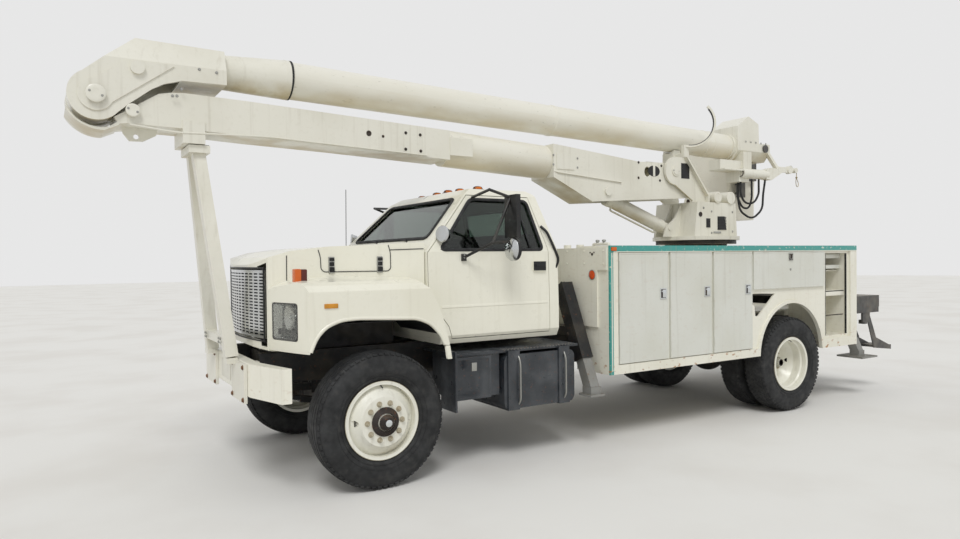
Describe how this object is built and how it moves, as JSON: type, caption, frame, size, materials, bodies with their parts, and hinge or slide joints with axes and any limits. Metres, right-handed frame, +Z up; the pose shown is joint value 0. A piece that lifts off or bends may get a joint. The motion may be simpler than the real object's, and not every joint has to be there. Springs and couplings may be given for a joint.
{
  "type": "bucket truck",
  "caption": "Conventional-cab utility truck with a folding boom carried over the cab from a rear turret, side tool lockers, slanted outriggers and a work bucket.",
  "frame": {"origin": "on the ground under the middle of the outline, with the booms stowed", "axes": "+X forward, +Y to the driver's left-hand side, +Z up"},
  "size_m": [9.2861, 2.67, 3.555],
  "materials": {
    "cab_paint": "gloss",
    "boom_paint": "semi-gloss, weathered",
    "body_paint": "gloss",
    "door_paint": "satin",
    "boom_glassfibre": "semi-gloss, weathered",
    "bucket_glassfibre": "gloss",
    "chassis_black": "satin",
    "tank_black": "semi-gloss, dusty",
    "shelf_grey": "matt, worn",
    "leg_grey": "satin, worn",
    "cast_steel": "rough",
    "wheel_paint": "semi-gloss",
    "tyre_rubber": "matt",
    "pane": "clear",
    "mirror_frame": "satin",
    "seat_vinyl": "matt",
    "dash_plastic": "matt",
    "grille_plating": "bright",
    "lamp_lens": "clear lens",
    "lamp_amber": "lens",
    "rod_chrome": "bright",
    "hose_rubber": "matt",
    "line_rope": "laid rope, worn",
    "mount_steel": "satin, worn"
  },
  "bodies": {
    "chassis": {"frame_rails": "chassis_black", "axles": "chassis_black", "driveline_and_tanks": "chassis_black", "cab_shell": "cab_paint", "cab_glass": "pane", "cab_seat": "seat_vinyl", "dashboard": "dash_plastic", "side_boxes": "tank_black", "front_bumper": "body_paint", "boom_support": "boom_paint", "body_pack_left": "body_paint", "body_pack_right": "body_paint", "deck_and_pedestal": "body_paint", "tail_shelf": "shelf_grey", "body_lamps": "lamp_amber"},
    "hood": {"hood": "cab_paint", "grille": "grille_plating", "front_lamps": "lamp_lens"},
    "turret": {"turret": "boom_paint"},
    "lower_boom": {"lower_boom": "boom_paint", "lower_boom_insert": "boom_glassfibre"},
    "elbow": {"elbow_pin": "boom_paint"},
    "upper_boom": {"upper_boom_housing": "boom_paint", "upper_boom_tube": "boom_glassfibre", "boom_tip": "boom_paint", "tip_hoses": "hose_rubber", "winch_line": "line_rope"},
    "bucket": {"bucket": "bucket_glassfibre", "bucket_mount": "mount_steel"},
    "lift_barrel": {"lift_cylinder_barrel": "boom_paint"},
    "lift_rod": {"lift_cylinder_rod": "rod_chrome"},
    "knuckle_left": {"knuckle_left": "cast_steel"},
    "cab_door_left": {"cab_door_left": "cab_paint", "cab_door_glass_left": "pane", "mirrors_left": "mirror_frame"},
    "wheel_front_left": {"tyre_front_left": "tyre_rubber", "wheel_front_left": "wheel_paint"},
    "outrigger_leg_front_left": {"outrigger_leg_front_left": "leg_grey"},
    "wheel_rear_left": {"tyre_rear_left": "tyre_rubber", "wheel_rear_left": "wheel_paint"},
    "outrigger_leg_rear_left": {"outrigger_leg_rear_left": "leg_grey"},
    "locker_door_left_1": {"locker_door_left_1": "door_paint"},
    "locker_door_left_2": {"locker_door_left_2": "door_paint"},
    "locker_door_left_3": {"locker_door_left_3": "door_paint"},
    "locker_door_left_4": {"locker_door_left_4": "door_paint"},
    "knuckle_right": {"knuckle_right": "cast_steel"},
    "cab_door_right": {"cab_door_right": "cab_paint", "cab_door_glass_right": "pane", "mirrors_right": "mirror_frame"},
    "wheel_front_right": {"tyre_front_right": "tyre_rubber", "wheel_front_right": "wheel_paint"},
    "outrigger_leg_front_right": {"outrigger_leg_front_right": "leg_grey"},
    "wheel_rear_right": {"tyre_rear_right": "tyre_rubber", "wheel_rear_right": "wheel_paint"},
    "outrigger_leg_rear_right": {"outrigger_leg_rear_right": "leg_grey"},
    "locker_door_right_1": {"locker_door_right_1": "door_paint"},
    "locker_door_right_2": {"locker_door_right_2": "door_paint"},
    "locker_door_right_3": {"locker_door_right_3": "door_paint"},
    "locker_door_right_4": {"locker_door_right_4": "door_paint"},
    "locker_door_right_5": {"locker_door_right_5": "door_paint"}
  },
  "joints": [
    {"name": "steer_left", "type": "hinge", "parent": "chassis", "child": "knuckle_left", "pos_m": [2.611, 0.85, 0.527], "axis": [0, 0, 1], "range_deg": [-35, 35]},
    {"name": "wheel_spin_front_left", "type": "hinge", "parent": "knuckle_left", "child": "wheel_front_left", "pos_m": [2.611, 1.03, 0.527], "axis": [0, 1, 0], "continuous": true},
    {"name": "outrigger_front_left", "type": "slide", "parent": "chassis", "child": "outrigger_leg_front_left", "axis": [0, 0.3945, -0.9189], "range_m": [0, 0.51]},
    {"name": "wheel_spin_rear_left", "type": "hinge", "parent": "chassis", "child": "wheel_rear_left", "pos_m": [-2.389, 0.907, 0.527], "axis": [0, 1, 0], "continuous": true},
    {"name": "outrigger_rear_left", "type": "slide", "parent": "chassis", "child": "outrigger_leg_rear_left", "axis": [0, 0.3945, -0.9189], "range_m": [0, 0.5]},
    {"name": "cab_door_hinge_left", "type": "hinge", "parent": "chassis", "child": "cab_door_left", "pos_m": [2.124, 1.004, 1.4], "axis": [0, 0, -1], "range_deg": [0, 60]},
    {"name": "locker_hinge_left_1", "type": "hinge", "parent": "chassis", "child": "locker_door_left_1", "pos_m": [0.246, 1.2225, 1.28], "axis": [0, 0, -1], "range_deg": [0, 100]},
    {"name": "locker_hinge_left_2", "type": "hinge", "parent": "chassis", "child": "locker_door_left_2", "pos_m": [-0.429, 1.2225, 1.28], "axis": [0, 0, -1], "range_deg": [0, 100]},
    {"name": "locker_hinge_left_3", "type": "hinge", "parent": "chassis", "child": "locker_door_left_3", "pos_m": [-1.059, 1.2225, 1.28], "axis": [0, 0, -1], "range_deg": [0, 100]},
    {"name": "locker_hinge_left_4", "type": "hinge", "parent": "chassis", "child": "locker_door_left_4", "pos_m": [-2.339, 1.2225, 1.3915], "axis": [-1, 0, 0], "range_deg": [0, 90]},
    {"name": "steer_right", "type": "hinge", "parent": "chassis", "child": "knuckle_right", "pos_m": [2.611, -0.85, 0.527], "axis": [0, 0, 1], "range_deg": [-35, 35]},
    {"name": "wheel_spin_front_right", "type": "hinge", "parent": "knuckle_right", "child": "wheel_front_right", "pos_m": [2.611, -1.03, 0.527], "axis": [0, 1, 0], "continuous": true},
    {"name": "outrigger_front_right", "type": "slide", "parent": "chassis", "child": "outrigger_leg_front_right", "axis": [0, -0.3945, -0.9189], "range_m": [0, 0.51]},
    {"name": "wheel_spin_rear_right", "type": "hinge", "parent": "chassis", "child": "wheel_rear_right", "pos_m": [-2.389, -0.907, 0.527], "axis": [0, 1, 0], "continuous": true},
    {"name": "outrigger_rear_right", "type": "slide", "parent": "chassis", "child": "outrigger_leg_rear_right", "axis": [0, -0.3945, -0.9189], "range_m": [0, 0.5]},
    {"name": "cab_door_hinge_right", "type": "hinge", "parent": "chassis", "child": "cab_door_right", "pos_m": [2.124, -1.004, 1.4], "axis": [0, 0, 1], "range_deg": [0, 60]},
    {"name": "locker_hinge_right_1", "type": "hinge", "parent": "chassis", "child": "locker_door_right_1", "pos_m": [0.246, -1.2225, 1.28], "axis": [0, 0, 1], "range_deg": [0, 100]},
    {"name": "locker_hinge_right_2", "type": "hinge", "parent": "chassis", "child": "locker_door_right_2", "pos_m": [-0.429, -1.2225, 1.28], "axis": [0, 0, 1], "range_deg": [0, 100]},
    {"name": "locker_hinge_right_3", "type": "hinge", "parent": "chassis", "child": "locker_door_right_3", "pos_m": [-1.059, -1.2225, 1.28], "axis": [0, 0, 1], "range_deg": [0, 100]},
    {"name": "locker_hinge_right_4", "type": "hinge", "parent": "chassis", "child": "locker_door_right_4", "pos_m": [-2.339, -1.2225, 1.3915], "axis": [1, 0, 0], "range_deg": [0, 90]},
    {"name": "locker_hinge_right_5", "type": "hinge", "parent": "chassis", "child": "locker_door_right_5", "pos_m": [-3.484, -1.2225, 1.28], "axis": [0, 0, -1], "range_deg": [0, 100]},
    {"name": "hood_tilt", "type": "hinge", "parent": "chassis", "child": "hood", "pos_m": [3.351, 0, 0.95], "axis": [0, 1, 0], "range_deg": [0, 12]},
    {"name": "turret_swing", "type": "hinge", "parent": "chassis", "child": "turret", "pos_m": [-2.179, 0, 1.93], "axis": [0, 0, 1], "continuous": true},
    {"name": "lower_boom_lift", "type": "hinge", "parent": "turret", "child": "lower_boom", "pos_m": [-1.569, 0, 2.77], "axis": [0, -1, 0], "range_deg": [0, 75]},
    {"name": "elbow_level", "type": "hinge", "parent": "lower_boom", "child": "elbow", "pos_m": [4.454, 0, 2.996], "axis": [0, -1, 0], "range_deg": [-75, 0]},
    {"name": "upper_boom_unfold", "type": "hinge", "parent": "elbow", "child": "upper_boom", "pos_m": [4.454, 0, 2.996], "axis": [0, 1, 0], "range_deg": [0, 150]},
    {"name": "bucket_level", "type": "hinge", "parent": "upper_boom", "child": "bucket", "pos_m": [-3.269, 0, 3.153], "axis": [0, 1, 0], "range_deg": [-150, 0]},
    {"name": "lift_cylinder_swing", "type": "hinge", "parent": "turret", "child": "lift_barrel", "pos_m": [-1.639, 0, 2.1], "axis": [0, -1, 0], "range_deg": [0, 50]},
    {"name": "lift_cylinder_extend", "type": "slide", "parent": "lift_barrel", "child": "lift_rod", "axis": [0.9422, 0, 0.335], "range_m": [0, 0.54]}
  ],
  "couplings": [
    {"joint": "steer_right", "follows": "steer_left", "ratio": 1},
    {"joint": "elbow_level", "follows": "lower_boom_lift", "ratio": -1},
    {"joint": "bucket_level", "follows": "upper_boom_unfold", "ratio": -1},
    {"joint": "lift_cylinder_swing", "follows": "lower_boom_lift", "ratio": 0.661},
    {"joint": "lift_cylinder_extend", "follows": "lower_boom_lift", "m_per_rad": 0.4105}
  ]
}
